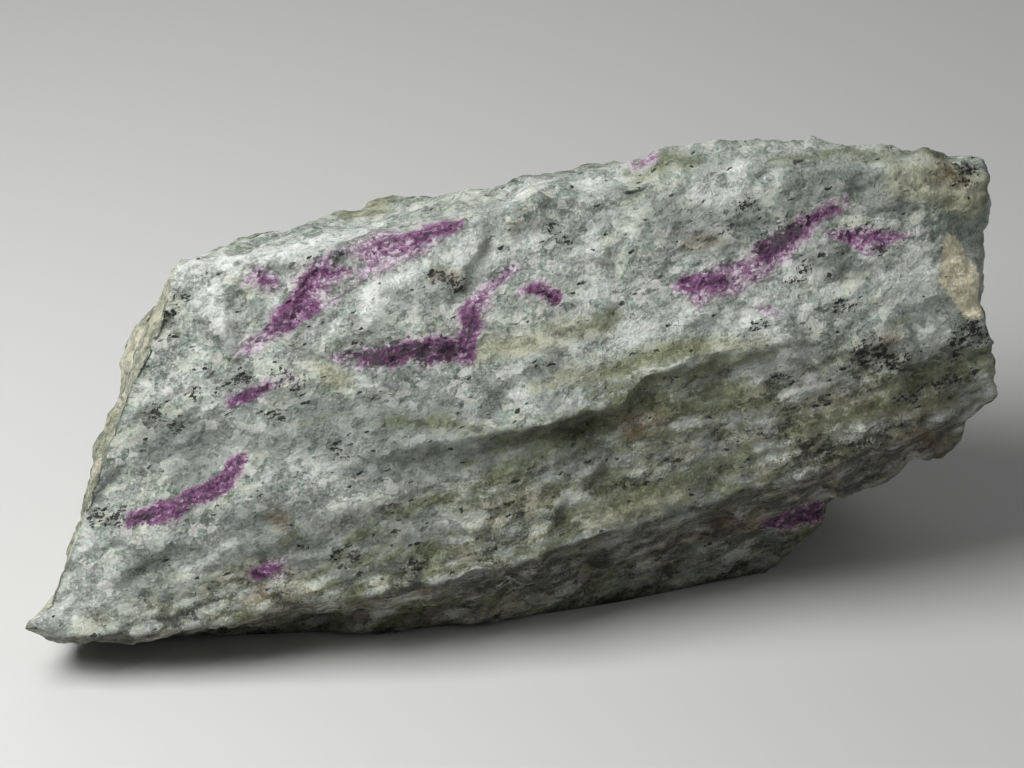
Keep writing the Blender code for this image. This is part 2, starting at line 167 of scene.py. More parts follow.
def flakes(points: Array, seed: int, sharp: float = 14.0) -> Array:
    """Tilted flakes: the planes of the nearest flakes, blended by exp(-sharp d²).

    Each cell holds one flake, its middle and its tilt at random, and d is the distance to it.

    Args:
        points: Places in units of one flake.
        seed: Family of flakes to take.
        sharp: How narrow the blend is.

    Returns:
        Heights in units of one flake.
    """
    cell = np.floor(points).astype(np.int64)
    shares = np.zeros(len(points))
    height = np.zeros(len(points))
    for step in product((-1, 0, 1), repeat=3):
        around = cell + step
        middle = around + np.stack([hashed(around, seed + k) for k in range(3)], axis=1)
        tilt = 2 * np.stack([hashed(around, seed + 3 + k) for k in range(3)], axis=1) - 1
        away = points - middle
        share = np.exp(-sharp * np.sum(away ** 2, axis=1))
        shares += share
        height += share * np.sum(away * tilt, axis=1)
    return height / shares


def eased(value: Array, low: float, high: float) -> Array:
    """Smooth step: 0 below low, 1 above high, and 3t² - 2t³ between them."""
    share = np.clip((value - low) / (high - low), 0, 1)
    return share * share * (3 - 2 * share)


def layered(points: Array) -> Array:
    """How strongly the rock splits into thin layers: an eased step across a border.

    The border runs up the broad face at a slope and then level, and the back is layered a little.

    Args:
        points: Places, mm.

    Returns:
        0 on the sugary upper face, 1 under the border.
    """
    up = (points - np.array(FACE_CENTRE)) @ (0, math.sin(FACE_LEAN), math.cos(FACE_LEAN))
    border = np.minimum(BORDER_SLOPE * points[:, 0] + BORDER_SHIFT, BORDER_TOP)
    below = eased(border - up, *BORDER_FADE)
    return np.maximum(below, BACK_SHARE * eased(points[:, 1], *BACK_FADE))


# --- form


@dataclass(frozen=True)
class Relief:
    """How the broken surface stands off the smooth block, in millimetres.

    Rounds of lumps and of crumbling are (size, height, seed), rounds of flakes (size, tilt, seed)
    and steps along the layers (spacing, height, seed). Knocks are (middle, radius, push). Grains,
    leaves and crumbling are only here, and the rest is in the solid model too.
    """

    lumps: tuple[Round, ...] = ((13.0, 0.5, 11), (5.5, 0.22, 12))
    chips: tuple[Round, ...] = ((6.5, 0.13, 21),)
    ledges: Round = (5.0, 0.4, 31)
    leaves: Round = (1.3, 0.30, 61)
    grains: tuple[Round, ...] = ((2.4, 0.08, 41), (1.0, 0.14, 51))
    grain_sharp: float = 40.0
    grain_scale: Spot = (0.8, 0.8, 1.0)     # along the rows of LAYERS
    bend: Pair = (0.35, 2.8)                # reach and size of the steps' bends, in spacings
    uneven: float = 2.2                     # size of their changes in strength, in spacings
    fall: float = 4.0                       # how many times steeper they fall than they rise
    level: float = 0.3                      # their mean, which is taken off
    sugary: float = 0.15                    # share of the leaves where the rock isn't layered
    crumble: tuple[Round, ...] = ((3.0, 0.32, 91), (1.7, 0.24, 95), (0.8, 0.12, 99))
    calm: float = 0.5                       # share of it that the broad face is spared
    calm_from: Pair = (0.85, 0.97)          # how squarely a place faces out for that
    lowest: float = 0.1                     # of all that isn't the base
    knocks: tuple[tuple[Spot, float, Spot], ...] = (
        ((45.8, 1.5, 36.5), 4.5, (-1.6, 0.3, 0)), ((45.5, 5, 41), 2.6, (0.7, 0, 0.5)),
        ((46, -3.5, 21.5), 3, (0.8, 0, 0)), ((-44.5, -19.5, 5), 3, (-0.5, 0, 0.9)),
        ((-40.5, -16.5, 11.5), 3.2, (0.9, 0.3, 0)), ((-37, 3.5, 21), 4, (-0.9, 0, 0.6)),
        ((8.5, -10, 22), 5, (0, 0.9, -0.4)), ((13.5, -8.8, 26), 3.6, (0, 1.1, -0.2)),
        ((23.5, -6.5, 8.5), 4.5, (0, 0.6, 0.3)), ((-14, 22, 18), 6, (0, -1.2, 0)),
        ((17, 24.5, 20), 7, (0, -1.5, 0)), ((-4, 13.5, 34.5), 5, (0, 0, -0.8)))

    def steps(self, points: Array, spacing: float, tall: float, seed: int) -> Array:
        """Steps along the layers: a slow rise and a sharp fall on each, of uneven strength.

        Args:
            points: Places, mm.
            spacing: Distance from one step to the next, mm.
            tall: Height of the strongest steps, mm.
            seed: Family of the noise that bends the layers and varies their strength.

        Returns:
            Heights, mm.
        """
        reach, size = self.bend
        wander = reach * smooth_noise(points / (size * spacing), seed)
        layer = points @ np.array(FOLIATION) / spacing + wander
        rise = layer - np.floor(layer)
        strength = 0.5 + 0.5 * smooth_noise(points / (self.uneven * spacing), seed + 1)
        return tall * (strength * np.minimum(rise, self.fall * (1 - rise)) - self.level)

    def height(self, points: Array) -> Array:
        """Height of the broken surface over the smooth one: the sum of all rounds and steps.

        Args:
            points: Places on the smooth block, mm.

        Returns:
            Heights, mm.
        """
        body = self.steps(points, *self.ledges)
        for size, tilt, seed in self.chips:
            body += size * tilt * flakes(points / size, seed)
        for size, tall, seed in self.lumps:
            body += tall * smooth_noise(points / size, seed)
        leafy = self.sugary + (1 - self.sugary) * layered(points)
        skin = self.steps(points, *self.leaves) * leafy
        turned = points @ LAYERS.T * self.grain_scale
        for size, tilt, seed in self.grains:
            skin += size * tilt * flakes(turned / size, seed, self.grain_sharp)
        return body + skin

    def shift(self, points: Array, normals: Array) -> Array:
        """Moves in all directions: (1 - (d/r)²)² of each knock's push, and the crumbling noise.

        Args:
            points: Places on the smooth block, mm.
            normals: Unit normals there.

        Returns:
            Moves, mm.
        """
        pushed = np.zeros_like(points)
        for middle, radius, push in self.knocks:
            near = np.linalg.norm(points - np.array(middle), axis=1) / radius
            pushed += np.array(push) * ((1 - np.minimum(near, 1) ** 2) ** 2)[:, None]
        crumbled = np.zeros_like(points)
        for size, reach, seed in self.crumble:
            for axis in range(3):
                crumbled[:, axis] += reach * smooth_noise(points / size, seed + axis)
        calm = 1 - self.calm * eased(normals @ np.array(FACE_VIEW.out), *self.calm_from)
        return pushed + crumbled * calm[:, None]

    def apply(self, points: Array, normals: Array) -> Array:
        """Move points of the smooth block out to the broken surface.

        Args:
            points: Places on the smooth block, mm.
            normals: Unit normals there.

        Returns:
            Places on the broken surface. The flat base stays flat, and nothing is under it.
        """
        on_base = points[:, 2] < FLAT
        height = np.where(on_base, 0.0, self.height(points))
        moved = points + normals * height[:, None] + self.shift(points, normals) * ~on_base[:, None]
        moved[:, 2] = np.where(on_base, points[:, 2], np.maximum(moved[:, 2], self.lowest))
        return moved


@dataclass(frozen=True)
class Patch:
    """A grid of points of the smooth block, with their normals and places on the broken surface."""

    points: Array
    normals: Array
    surface: Array

    def finer(self, rows: slice, columns: slice, times: int) -> "Patch":
        """A part of the patch on a finer grid: each point blends the four points round it.

        Args:
            rows: Rows to keep.
            columns: Columns to keep.
            times: New quads along each side of an old one.

        Returns:
            The finer patch.
        """
        made = []
        for values in (self.points, self.normals, self.surface):
            part = values[rows, columns]
            for axis in (0, 1):
                count = part.shape[axis]
                place = np.linspace(0, count - 1, (count - 1) * times + 1)
                first = np.minimum(place.astype(int), count - 2)
                share = np.expand_dims(place - first, (1, 2) if axis == 0 else (0, 2))
                part = (np.take(part, first, axis) * (1 - share)
                        + np.take(part, first + 1, axis) * share)
            made.append(part)
        made[1] /= np.linalg.norm(made[1], axis=2)[..., None]
        return Patch(*made)


@dataclass(frozen=True)
class BlockForm:
    """The smooth block: rings of points through the long edges, closed by two end patches.

    The counts are of quads from each long edge to the next, and the bulge is how far the middles
    of the left and right ends stand out, mm.
    """

    edges: tuple[Line, ...] = tuple(EDGES.values())
    counts: tuple[int, ...] = (16, 8, 80, 9, 34, 7, 5, 16, 50, 43, 50)
    rows: int = 292
    rounding: int = 1            # passes of averaging, which take the sharpness off
    bulge: Pair = (0.2, 0.8)
    lowest: float = 0.01

    @property
    def across(self) -> int:
        """Quads over the top, and under the base."""
        return self.counts[0]

    @property
    def down(self) -> int:
        """Quads down the front, and up the back."""
        return sum(self.counts[1:7])

    @staticmethod
    def curve(stations: Line, steps: int) -> Array:
        """Points on a Catmull-Rom curve: a cubic between stations, with their mean slopes.

        Args:
            stations: Places that the curve goes through.
            steps: Parts to cut it into.

        Returns:
            Points, (steps + 1, 3).
        """
        known = np.array(stations, float)
        known = np.vstack([2 * known[0] - known[1], known, 2 * known[-1] - known[-2]])
        place = np.linspace(0, len(stations) - 1, steps + 1)
        first = np.minimum(place.astype(int), len(stations) - 2)
        t = (place - first)[:, None]
        a, b, c, d = (known[first + k] for k in range(4))
        return 0.5 * (2 * b + (c - a) * t + (2 * a - 5 * b + 4 * c - d) * t ** 2
                      + (3 * b - a - 3 * c + d) * t ** 3)

    def rings(self) -> Array:
        """Rings of points: straight from each long edge to the next, then a little rounded.

        Returns:
            Points, (rows + 1, columns, 3).
        """
        curves = [self.curve(edge, self.rows) for edge in self.edges]
        columns = []
        for start, end, count in zip(curves, curves[1:] + curves[:1], self.counts):
            share = (np.arange(count) / count)[None, :, None]
            columns.append(start[:, None] + (end - start)[:, None] * share)
        rings = np.concatenate(columns, axis=1)
        rings[..., 2] = np.maximum(rings[..., 2], 0)
        flat = rings[..., 2] < FLAT
        for _ in range(self.rounding):
            rings = (np.roll(rings, 1, 1) + 2 * rings + np.roll(rings, -1, 1)) / 4
        rings[..., 2] = np.where(flat, 0, np.maximum(rings[..., 2], self.lowest))
        return rings

    def sides(self, ring: Array) -> tuple[Array, Array, Array, Array]:
        """Cut a ring into its four sides, each with both its corners.

        Args:
            ring: What belongs to each point of an end ring.

        Returns:
            The top and the base from front to back, and the front and the back downwards.
        """
        closed = np.concatenate([ring, ring[:1]])
        corners = np.cumsum((self.across, self.down, self.across))
        top, front, base, back = (
            closed[start:end + 1] for start, end in zip((0, *corners), (*corners, len(ring))))
        return top[::-1], base, front, back[::-1]

    def end_patch(self, ring: Array, bulge: float) -> Array:
        """A Coons patch across one end: two ruled surfaces, less the blend of their corners.

        Args:
            ring: The end ring of points.
            bulge: How far the middle is pushed along X, by sin(pi u) sin(pi v), mm.

        Returns:
            Points, (down + 1, across + 1, 3), the ring's own at the border.
        """
        top, base, front, back = self.sides(ring)
        u = np.linspace(0, 1, self.down + 1)[:, None, None]
        v = np.linspace(0, 1, self.across + 1)[None, :, None]
        patch = (1 - v) * front[:, None] + v * back[:, None] + (1 - u) * top + u * base
        patch -= (1 - u) * (1 - v) * top[0] + (1 - u) * v * top[-1]
        patch -= u * (1 - v) * base[0] + u * v * base[-1]
        patch[..., 0] += bulge * (np.sin(math.pi * u) * np.sin(math.pi * v))[..., 0]
        patch[..., 2] = np.maximum(patch[..., 2], self.lowest)
        return patch

    def numbers(self) -> tuple[Numbers, list[Numbers]]:
        """Mesh numbers of the points of the rings and of the end patches.

        Returns:
            The rings' numbers (rows + 1, columns), and a grid for each end with its border.
        """
        columns = sum(self.counts)
        side = np.arange((self.rows + 1) * columns).reshape(self.rows + 1, columns)
        inside = (self.down - 1) * (self.across - 1)
        ends = []
        for which, ring in enumerate((side[0], side[-1])):
            grid = np.empty((self.down + 1, self.across + 1), np.int64)
            first = side.size + which * inside
            grid[1:-1, 1:-1] = np.arange(first, first + inside).reshape(self.down - 1, -1)
            grid[0], grid[-1], grid[:, 0], grid[:, -1] = self.sides(ring)
            ends.append(grid)
        return side, ends


def grid_quads(numbers: Numbers) -> Numbers:
    """Quads between neighbouring rows and columns of a grid of point numbers, (n, 4)."""
    return np.stack([numbers[:-1, :-1], numbers[:-1, 1:], numbers[1:, 1:], numbers[1:, :-1]],
                    axis=-1).reshape(-1, 4)


def put_mesh(name: str, points: Array, quads: Numbers) -> bpy.types.Mesh:
    """Make a smooth-shaded mesh from whole arrays.

    Args:
        name: Name of the mesh.
        points: Places, m.
        quads: Four point numbers for each face.

    Returns:
        The mesh.
    """
    mesh = bpy.data.meshes.new(name)
    mesh.vertices.add(len(points))
    mesh.vertices.foreach_set("co", points.ravel())
    mesh.loops.add(quads.size)
    mesh.loops.foreach_set("vertex_index", quads.ravel().astype(np.int32))
    mesh.polygons.add(len(quads))
    mesh.polygons.foreach_set("loop_start", np.arange(0, quads.size, 4, dtype=np.int32))
    mesh.update(calc_edges=True)
    mesh.shade_smooth()
    return mesh


def put_object(name: str, mesh: bpy.types.Mesh, finish: bpy.types.Material) -> bpy.types.Object:
    """Put a mesh into the scene at the origin.

    Args:
        name: Name of the object.
        mesh: Its mesh.
        finish: Its material.

    Returns:
        The object.
    """
    piece = bpy.data.objects.new(name, mesh)
    mesh.materials.append(finish)
    bpy.context.scene.collection.objects.link(piece)
    return piece


def put_values(mesh: bpy.types.Mesh, name: str, values: Array) -> None:
    """Store one number for each point of a mesh, for its material to read."""
    layer = mesh.attributes.new(name, "FLOAT", "POINT")
    layer.data.foreach_set("value", values.astype(np.float32))


def normals_of(mesh: bpy.types.Mesh) -> Array:
    """Unit normals of a mesh's points.

    Args:
        mesh: The mesh.

    Returns:
        Normals, (n, 3).
    """
    normals = np.empty(len(mesh.vertices) * 3, np.float32)
    mesh.vertex_normals.foreach_get("vector", normals)
    return normals.reshape(-1, 3).astype(float)


def to_metres(points: Array) -> Array:
    """From millimetres in the net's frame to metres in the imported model's frame."""
    return (points + CENTRING) * MM


# --- markings


@dataclass(frozen=True)
class View:
    """A direction that strokes are laid out in, square to one side of the block.

    A stroke is a row of right, up and half width at each of its spots, in tenths of a millimetre.
    """

    middle: Spot
    right: Spot
    up: Spot
    out: Spot
    turned: Pair = (0.02, 0.2)      # how squarely a place faces it where strokes fade in
    away: float = 9.0               # what a place turned away loses in depth, mm

    def depth(self, row: Row, points: Array, normals: Array) -> Array:
        """Depth inside a stroke: the half width less the distance to the line, at its largest.

        It is far less where the surface turns away from the view.

        Args:
            row: The stroke.
            points: Places on the surface, mm.
            normals: Unit normals there.

        Returns:
            Depths, mm, negative outside.
        """
        past = points - np.array(self.middle)
        flat = np.stack([past @ np.array(self.right), past @ np.array(self.up)], axis=1)
        spots = np.array(row).reshape(-1, 3) / 10
        deepest = np.full(len(flat), -np.inf)
        for start, end in zip(spots, spots[1:]):
            run = end[:2] - start[:2]
            share = np.clip((flat - start[:2]) @ run / (run @ run), 0, 1)
            gone = np.linalg.norm(flat - start[:2] - share[:, None] * run, axis=1)
            deepest = np.maximum(deepest, start[2] + (end[2] - start[2]) * share - gone)
        return deepest - self.away * (1 - eased(normals @ np.array(self.out), *self.turned))

    def deepest(self, rows: tuple[Row, ...], points: Array, normals: Array) -> Array:
        """Largest depth inside any of several strokes, OUTSIDE at the least.

        Args:
            rows: The strokes.
            points: Places on the surface, mm.
            normals: Unit normals there.

        Returns:
            Depths, mm.
        """
        most = np.full(len(points), OUTSIDE)
        for row in rows:
            most = np.maximum(most, self.depth(row, points, normals))
        return most


FACE_VIEW = View(
    FACE_CENTRE, (1, 0, 0),
    (0, math.sin(FACE_LEAN), math.cos(FACE_LEAN)), (0, -math.cos(FACE_LEAN), math.sin(FACE_LEAN)))
BACK_VIEW = View((0, 0, 0), (-1, 0, 0), (0, 0, 1), (0, 1, 0))
LEFT_VIEW = View((0, 0, 0), (0, -1, 0), (0, 0, 1), (-1, 0, 0))


class Tint(Enum):
    """What a stroke on the rock stands for, by the name of its mesh attribute."""

    GREEN = "green"
    BLACK = "black"
    RUST = "rust"
    WHITE = "white"
    GREY = "grey"
    PEACH = "peach"
    SALLOW = "sallow"


# Strokes of each tint, laid out in FACE_VIEW.
MARKINGS: dict[Tint, tuple[Row, ...]] = {
    Tint.GREEN: (
        (-114, -36, 4, -70, -37, 6, -30, -43, 5, -11, -53, 5),
        (-11, -55, 6, 45, -50, 8, 82, -38, 10, 106, -20, 10, 129, -1, 8, 167, 11, 7, 214, 22, 5,
         242, 30, 3), (87, 14, 4, 130, 26, 9, 176, 34, 6), (90, -5, 5, 146, 1, 8),
        (353, -1, 7, 383, 6, 11, 420, 17, 11, 446, 27, 9), (115, 204, 5, 148, 210, 8, 178, 209, 5),
        (245, 208, 3, 308, 218, 3, 364, 214, 5, 420, 212, 3),
        (80, -10, 5, 155, -23, 9, 190, -26, 8, 240, -18, 5),
        (-50, -120, 4, -25, -95, 7, 10, -75, 6),
        (30, -140, 5, 90, -115, 7, 150, -95, 6, 220, -65, 5),
        (270, -44, 5, 340, -22, 6, 410, -6, 5), (68, 52, 4, 94, 66, 5)),
    Tint.BLACK: (
        (329, 26, 7, 344, 33, 9, 360, 22, 9), (418, 34, 6, 428, 54, 8, 438, 52, 6),
        (366, -9, 3, 393, -3, 6, 418, 4, 4), (262, 96, 3, 272, 108, 4), (199, 146, 4, 206, 149, 3),
        (302, 69, 3, 310, 72, 3), (229, 51, 3, 236, 55, 2), (247, 3, 3, 260, 6, 3),
        (217, 168, 4, 222, 170, 4), (426, 199, 4, 435, 201, 3), (34, 148, 2, 54, 128, 3),
        (-76, 104, 3, -42, 87, 3), (-266, -2, 5, -250, 6, 5), (-218, 7, 5, -202, 0, 6),
        (-389, -124, 6, -370, -126, 6, -354, -130, 3), (-314, 84, 3, -306, 81, 3),
        (-327, 65, 5, -322, 66, 4), (-299, -9, 4, -295, -11, 3), (-338, -26, 3.5, -336, -28, 3),
        (-321, -43, 4, -317, -41, 3), (-222, -26, 4, -218, -28, 3), (-165, -62, 3, -162, -63, 3),
        (-202, -155, 1, -196, -152, 1), (-170, -160, 3, -146, -165, 5),
        (-103, -174, 4, -84, -170, 5), (-45, -196, 3, 0, -186, 4, 50, -180, 3),
        (300, -65, 2, 340, -54, 3)),
    Tint.RUST: (
        (-249, -203, 5, -234, -196, 6), (-225, -122, 5, -213, -127, 5), (-73, 103, 4, -56, 98, 5),
        (166, 134, 5, 189, 136, 5), (346, 39, 5, 360, 46, 3), (404, 196, 5, 422, 194, 5),
        (110, -46, 7, 140, -34, 5), (375, -49, 5, 410, -56, 6), (200, -138, 6, 240, -132, 4)),
    Tint.WHITE: (
        (-305, 110, 14, -240, 126, 16, -186, 136, 13, -130, 146, 9), (-285, 74, 16, -265, 60, 14),
        (-130, 84, 14, -90, 110, 10), (-220, 75, 7, -205, 98, 8), (-180, 49, 7, -174, 54, 7),
        (185, 180, 10, 205, 176, 9), (105, 46, 10, 170, 64, 13, 240, 62, 8),
        (-200, -160, 10, -120, -148, 12, -40, -128, 8), (-300, -175, 7, -260, -146, 10),
        (270, -10, 7, 310, 6, 8), (144, -42, 6, 176, -46, 7), (384, 120, 14, 388, 50, 16),
        (216, 15, 8, 266, 17, 9), (54, -106, 6, 86, -116, 8), (186, -72, 5, 210, -66, 4),
        # Painted light: the first lightens the rim of the right end, the second the shade of the
        # hollow at the right of the broad face.
        (430, -36, 8, 448, -10, 13, 449, 16, 7), (195, -34, 6, 240, -33, 8),
        # Painted highlights: the first is glints at the lower left tip, the second lightens the shade
        # of a lump near the crest.
        (-446, -226, 8, -415, -210, 8), (-34, 146, 9, -32, 118, 9),
        # Partly a pale clump, partly painted light over the dark band of the hollow's left part.
        (-85, -49, 5, -50, -52, 7, -20, -51, 3)),
    Tint.GREY: (
        # The first two grey strokes, broad and soft, are partly grey rock and partly painted shade
        # over the middle and lower middle of the broad face.
        (-200, -40, 30, -80, -55, 38), (-240, -135, 26, -160, -150, 34, -90, -145, 26),
        (-330, -55, 20, -270, -60, 24), (20, -70, 16, 100, -74, 16), (30, 16, 16, 100, 2, 14),
        (140, 160, 16, 200, 130, 14), (-162, -26, 12, -124, -20, 10),
        (255, 170, 12, 315, 192, 16, 365, 176, 13), (275, 122, 8, 300, 110, 12, 330, 108, 9),
        (-100, 80, 10, -70, 86, 12), (180, 150, 10, 230, 156, 12), (-300, -90, 14, -240, -55, 12),
        (50, -160, 10, 140, -120, 12, 220, -86, 9), (-100, -90, 16, -40, -70, 13, 12, -67, 12)),
    Tint.SALLOW: (
        (366, 192, 14, 405, 186, 20, 436, 176, 22),
        (20, -6, 4, 45, 2, 6, 87, 12, 9, 130, 26, 9, 186, 38, 6, 237, 40, 4),
        (-176, 14, 9, -160, 2, 11), (-30, 30, 10, 30, 40, 10, 80, 56, 8),
        (-245, 144, 9, -200, 162, 12, -130, 176, 10), (80, -130, 9, 160, -100, 11),
        (300, -30, 8, 400, -10, 10)),
    Tint.PEACH: (
        # The peach patch on the right end is partly its own cream and partly painted light, lighter
        # than the cream where that end turns from the key lamp.
        (416, 128, 12, 424, 100, 22, 436, 76, 15), (410, -62, 2, 420, -56, 3))}


# --- finishes


Socket = bpy.types.NodeSocket
Value = Socket | float
Shade = Socket | Look
Stops = tuple[tuple[float, Look], ...]
Feeds = dict[str | int, object]
Outputs = bpy.types.bpy_prop_collection

ROCK_STOPS: Stops = (
    (0.06, (94, 100, 91)), (0.30, (140, 147, 138)), (0.54, (178, 184, 176)),
    (0.76, (212, 216, 209)), (0.96, (240, 241, 237)))
RUBY_STOPS: Stops = (
    (0.04, (40, 12, 38)), (0.28, (84, 30, 78)), (0.50, (116, 60, 108)),
    (0.72, (152, 114, 146)), (0.94, (206, 192, 202)))
MOSS_STOPS: Stops = (
    (0.15, (40, 42, 26)), (0.42, (82, 86, 56)), (0.68, (128, 134, 100)), (0.92, (176, 182, 158)))


def linear(*display: int) -> tuple[float, ...]:
    """A display colour of 0 to 255 as the linear colour that shaders take, by the sRGB curve."""
    parts = [c / 255 for c in display]
    return (*(c / 12.92 if c <= 0.04045 else ((c + 0.055) / 1.055) ** 2.4 for c in parts), 1.0)


class Graph:
    """A material's nodes, added by short calls."""

    def __init__(self, name: str) -> None:
        """Start a node material whose shader is the only node besides the output.

        Args:
            name: Its name.
        """
        self.material = bpy.data.materials.new(name)
        self.material.use_nodes = True
        self.tree = self.material.node_tree
        self.shader = self.tree.nodes["Principled BSDF"]

    def feed(self, node: bpy.types.Node, feeds: Feeds) -> Outputs:
        """Link a node's inputs to other nodes' outputs, or set them to constants.

        Args:
            node: The node.
            feeds: What goes into its inputs, by their names or numbers.

        Returns:
            The node's outputs.
        """
        for place, value in feeds.items():
            if isinstance(value, bpy.types.NodeSocket):
                self.tree.links.new(value, node.inputs[place])
            else:
                node.inputs[place].default_value = value
        return node.outputs

    def add(self, kind: str, feeds: Feeds, **settings: str) -> Outputs:
        """Add a node.

        Args:
            kind: Its type.
            feeds: What goes into its inputs, by their names or numbers.
            settings: Its own properties.

        Returns:
            Its outputs.
        """
        node = self.tree.nodes.new("ShaderNode" + kind)
        for name, value in settings.items():
            setattr(node, name, value)
        return self.feed(node, feeds)

    def math(self, operation: str, first: Value, second: Value) -> Socket:
        """A Math node of two values."""
        return self.add("Math", {0: first, 1: second}, operation=operation)[0]

    def total(self, *shares: tuple[Value, float]) -> Socket:
        """The sum of values, each times its weight.

        Args:
            shares: Values and weights; the value 1 adds a constant.

        Returns:
            The sum.
        """
        made: Value = 0.0
        for value, weight in shares:
            made = self.add("Math", {0: value, 1: weight, 2: made}, operation="MULTIPLY_ADD")[0]
        return made

    def vector(self, operation: str, first: Socket, second: Socket | Spot = (0, 0, 0)) -> Socket:
        """A Vector Math node of two vectors."""
        return self.add("VectorMath", {0: first, 1: second}, operation=operation)[0]

    def spread(self, colour: Socket, most: float) -> Socket:
        """A random colour as a vector, from -most to most along each axis."""
        away = self.vector("SUBTRACT", colour, (0.5, 0.5, 0.5))
        return self.vector("MULTIPLY", away, (2 * most,) * 3)

    def mapped(self, vector: Socket, scale: Spot, turn: Spot = (0, 0, 0)) -> Socket:
        """A Mapping node that scales and then turns a pattern."""
        return self.add("Mapping", {"Vector": vector, "Scale": scale, "Rotation": turn})[0]

    def noise(self, vector: Socket, kind: Spot, output: str = "Fac") -> Socket:
        """A Noise Texture node of a kind, which is its (scale, detail, roughness)."""
        feeds = {"Vector": vector} | dict(zip(("Scale", "Detail", "Roughness"), kind))
        return self.add("TexNoise", feeds)[output]

    def cells(self, vector: Socket, size: float) -> tuple[Socket, Socket]:
        """Cells of a size, mm: the distance to the nearest middle, and its random colour."""
        return tuple(self.add("TexVoronoi", {"Vector": vector, "Scale": 1 / size}))[:2]

    def parts(self, colour: Socket) -> tuple[Socket, ...]:
        """The three numbers of a colour."""
        return tuple(self.add("SeparateColor", {0: colour}))

    def stepped(self, value: Value, low: float, high: float, top: float = 1.0) -> Socket:
        """A smooth step from 0 at low to top at high."""
        feeds = {"Value": value, "From Min": low, "From Max": high, "To Max": top}
        return self.add("MapRange", feeds, interpolation_type="SMOOTHSTEP")[0]

    def ramp(self, value: Socket, stops: Stops) -> Socket:
        """A colour ramp.

        Args:
            value: Place on it.
            stops: Places and their display colours.

        Returns:
            The colour.
        """
        colour = self.add("ValToRGB", {0: value})[0]
        marks = colour.node.color_ramp.elements
        while len(marks) < len(stops):
            marks.new(0.5)
        for mark, (place, display) in zip(marks, stops):
            mark.position = place
            mark.color = linear(*display)
        return colour

    def mix(self, share: Value, first: Shade, second: Shade, blend: str = "MIX") -> Socket:
        """A mix of two colours, each another node's or a display colour."""
        low, high = (linear(*c) if isinstance(c, tuple) else c for c in (first, second))
        return self.add("Mix", {0: share, 6: low, 7: high}, data_type="RGBA", blend_type=blend)[2]

    def coated(self, colour: Socket, *coats: tuple) -> Socket:
        """Lay coats over a colour one after another.

        Args:
            colour: What lies under them.
            coats: Share and colour of each, and how it blends unless it covers.

        Returns:
            The colour with all of them.
        """
        for share, coat, *blend in coats:
            colour = self.mix(share, colour, coat, *blend)
        return colour

    def marking(self, name: str) -> Socket:
        """A number stored on the mesh's points."""
        return self.add("Attribute", {}, attribute_name=name)["Fac"]

    def facets(self, most: float, *grains: Socket) -> Socket:
        """The surface's normal, leaned over on each grain towards a direction of its own.

        Args:
            most: How far grains lean at most.
            grains: Each round of grains, as their random colours.

        Returns:
            The unit normal.
        """
        normal = self.add("NewGeometry", {})["Normal"]
        for colour in grains:
            normal = self.vector("ADD", normal, self.spread(colour, most))
        return self.vector("NORMALIZE", normal)


@dataclass(frozen=True)
class SpecimenFinish:
    """Sugary rock and granular ruby, mixed grain by grain by the depth stored on the mesh.

    Both pieces use the same mosaic, so that ruby grains thin out over the border. Only the rock
    has tints. Sizes are in mm, patterns (features per mm, detail, roughness) and scales (x, y, z).
    """

    name: str
    rock: bool = True
    grain: float = 0.85
    sugar: float = 0.34
    block: float = 1.9
    eye: float = 1.5                        # pale grains between the leaves
    specks: tuple[Pair, ...] = ((0.28, 0.984), (0.46, 0.986))  # sizes, and odds against one
    cloud: Spot = (0.17, 3.0, 0.5)
    blotch: Spot = (0.55, 5.0, 0.62)
    dust: Spot = (3.3, 3.0, 0.75)
    streak: Spot = (0.9, 5.0, 0.62)
    haze: Spot = (0.3, 2.0, 0.55)
    veins: Spot = (0.5, 5.0, 0.6)
    stain: Spot = (0.62, 4.0, 0.70)
    bend: Spot = (0.10, 1.0, 0.55)
    bend_reach: float = 2.6
    crumble: Spot = (1.6, 3.0, 0.55)
    crumble_reach: float = 0.3
    streak_scale: Spot = (0.3, 0.4, 1.0)
    grain_scale: Spot = (0.75, 0.82, 1.12)
    eye_scale: Spot = (0.6, 0.65, 1.1)      # on top of the grains' own, as is the next
    speck_scale: Spot = (0.7, 0.8, 1.1)
    facet: float = 0.28                     # lean of each grain's own facet
    bump: float = 0.9
    clear: float = 0.15                     # share of the light that goes into the grains
    clear_reach: float = 0.4

    def material(self) -> bpy.types.Material:
        """Build the node material, which reads depth, dark, layered and the tints from the mesh."""
        return Mosaic(self).dressed()


